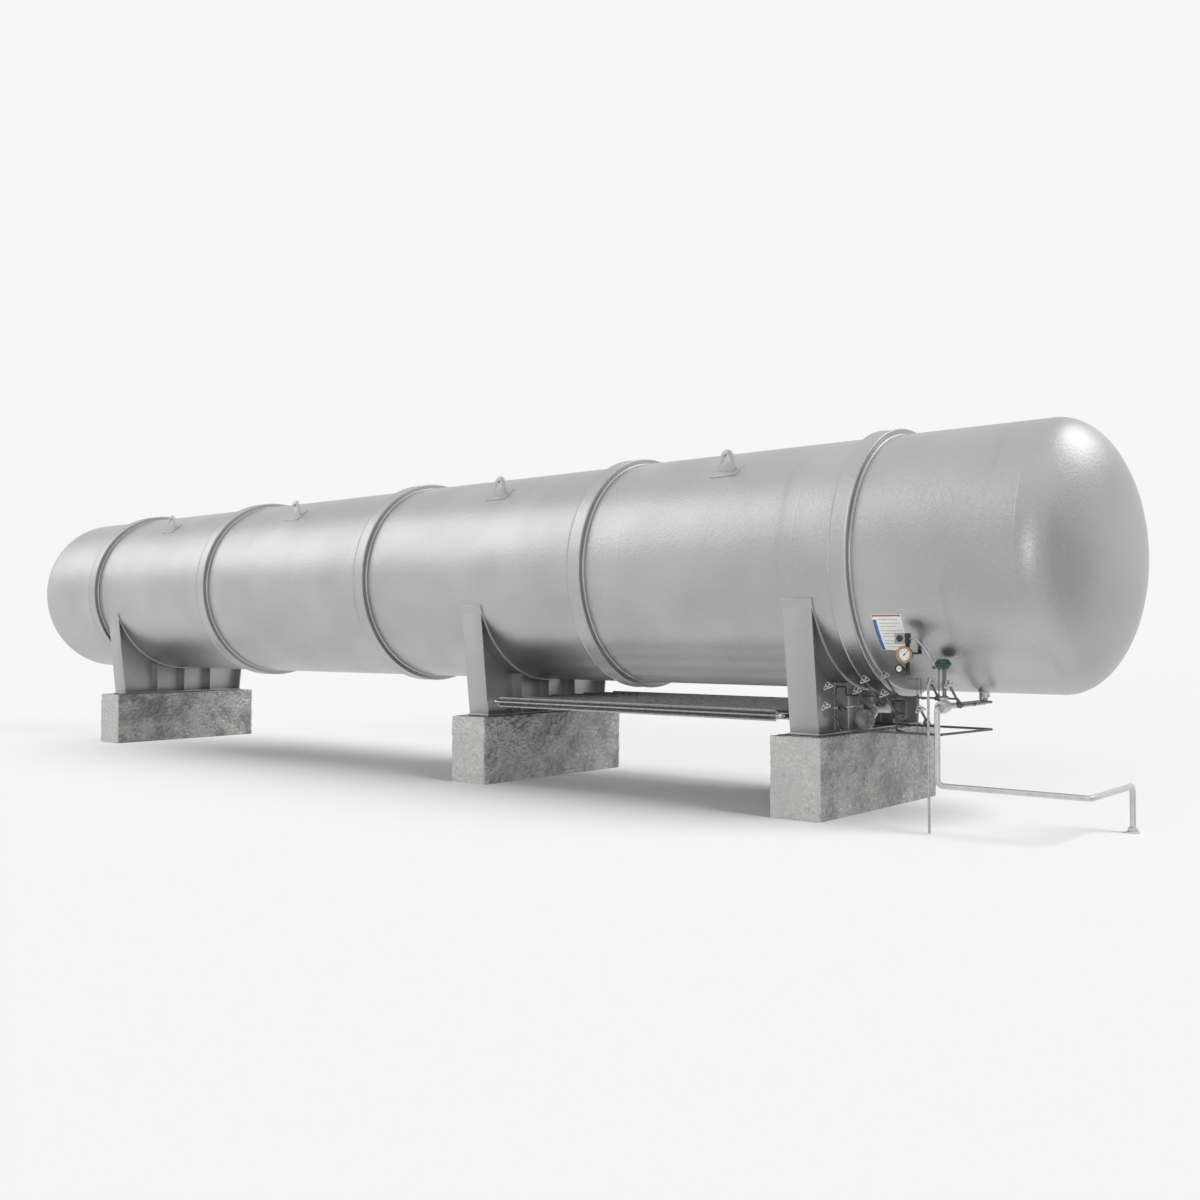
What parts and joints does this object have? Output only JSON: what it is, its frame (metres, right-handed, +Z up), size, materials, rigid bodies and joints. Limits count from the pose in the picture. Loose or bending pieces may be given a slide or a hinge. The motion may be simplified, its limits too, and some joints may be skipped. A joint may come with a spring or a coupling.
{
  "type": "lng storage tank",
  "caption": "Long horizontal cryogenic storage tank on saddles and concrete blocks, with stiffener rings, a finned pressure-building coil and a valve bay under one end.",
  "frame": {"origin": "on the ground under the middle of the tank's length and width", "axes": "+X along the tank towards the valve bay, +Y to the plain long side, +Z up"},
  "size_m": [21.69, 3.1504, 4.4951],
  "materials": {
    "jacket_paint": "satin silver-grey paint",
    "saddle_paint": "satin grey paint",
    "concrete": "rough cast concrete, cracked",
    "fin_aluminium": "dull grey",
    "coil_steel": "dull grey",
    "pipe_paint": "satin light grey",
    "cast_paint": "satin light grey over a casting",
    "regulator_green": "gloss green",
    "stainless": "drawn tube",
    "dark_pipe": "dull dark grey",
    "valve_steel": "dull cast steel",
    "handle_paint": "satin tan-grey",
    "gauge_bronze": "bronze, worn",
    "instrument_black": "satin black",
    "instrument_grey": "satin",
    "notice_sheet": "white sheet with plain colour bands"
  },
  "bodies": {
    "tank": {"jacket_shell": "jacket_paint", "head_near": "jacket_paint", "head_far": "jacket_paint", "stiffener_ring_1": "jacket_paint", "stiffener_ring_2": "jacket_paint", "stiffener_ring_3": "jacket_paint", "stiffener_ring_4": "jacket_paint", "stiffener_ring_5": "jacket_paint", "lifting_lugs_front": "jacket_paint", "lifting_lugs_back": "jacket_paint", "saddle_far": "saddle_paint", "saddle_middle": "saddle_paint", "saddle_near": "saddle_paint", "saddle_wrappers": "saddle_paint", "concrete_block_far": "concrete", "concrete_block_middle": "concrete", "concrete_block_near": "concrete", "finned_tubes": "fin_aluminium", "coil_headers": "coil_steel", "coil_brackets": "coil_steel", "bottom_nozzle": "pipe_paint", "supply_pipe": "pipe_paint", "regulator_body": "cast_paint", "regulator_actuator": "regulator_green", "ground_run": "pipe_paint", "small_pipe": "stainless", "upper_line": "dark_pipe", "lower_line": "dark_pipe", "vent_riser": "stainless", "strainer": "cast_paint", "sump_drum": "dark_pipe", "valve_bodies": "valve_steel", "level_gauge": "gauge_bronze", "pressure_gauge": "instrument_black", "instrument_block": "instrument_grey", "instrument_bracket": "instrument_black", "sensing_tubes": "stainless", "notice_plate": "notice_sheet"},
    "handle_1": {"valve_handle_1": "handle_paint"},
    "handle_2": {"valve_handle_2": "handle_paint"},
    "handle_3": {"valve_handle_3": "handle_paint"},
    "handle_4": {"valve_handle_4": "handle_paint"},
    "handle_5": {"valve_handle_5": "handle_paint"},
    "handle_6": {"valve_handle_6": "handle_paint"},
    "handle_7": {"valve_handle_7": "handle_paint"},
    "handle_8": {"valve_handle_8": "handle_paint"},
    "handle_9": {"valve_handle_9": "handle_paint"}
  },
  "joints": [
    {"name": "valve_1_turn", "type": "hinge", "parent": "tank", "child": "handle_1", "pos_m": [7.98023, -1.40455, 1.50388], "axis": [0, -0.766, 0.6428], "range_deg": [0, 810]},
    {"name": "valve_2_turn", "type": "hinge", "parent": "tank", "child": "handle_2", "pos_m": [7.98023, -1.45553, 1.28551], "axis": [0, -0.766, 0.6428], "range_deg": [0, 810]},
    {"name": "valve_3_turn", "type": "hinge", "parent": "tank", "child": "handle_3", "pos_m": [8.1552, -1.07729, 1.44779], "axis": [0, -0.766, 0.6428], "range_deg": [0, 810]},
    {"name": "valve_4_turn", "type": "hinge", "parent": "tank", "child": "handle_4", "pos_m": [8.28025, -1.12638, 1.57468], "axis": [0, -0.766, 0.6428], "range_deg": [0, 810]},
    {"name": "valve_5_turn", "type": "hinge", "parent": "tank", "child": "handle_5", "pos_m": [8.5002, -1.11057, 1.42718], "axis": [0, -0.766, 0.6428], "range_deg": [0, 810]},
    {"name": "valve_6_turn", "type": "hinge", "parent": "tank", "child": "handle_6", "pos_m": [8.5002, -1.08377, 1.6253], "axis": [0, -0.766, 0.6428], "range_deg": [0, 810]},
    {"name": "valve_7_turn", "type": "hinge", "parent": "tank", "child": "handle_7", "pos_m": [9.02017, -1.30999, 1.28637], "axis": [0, -0.766, 0.6428], "range_deg": [0, 810]},
    {"name": "valve_8_turn", "type": "hinge", "parent": "tank", "child": "handle_8", "pos_m": [9.00023, -1.0297, 1.56734], "axis": [0, -0.766, 0.6428], "range_deg": [0, 810]},
    {"name": "valve_9_turn", "type": "hinge", "parent": "tank", "child": "handle_9", "pos_m": [9.41031, -1.46886, 1.56547], "axis": [0, -0.766, 0.6428], "range_deg": [0, 810]}
  ]
}
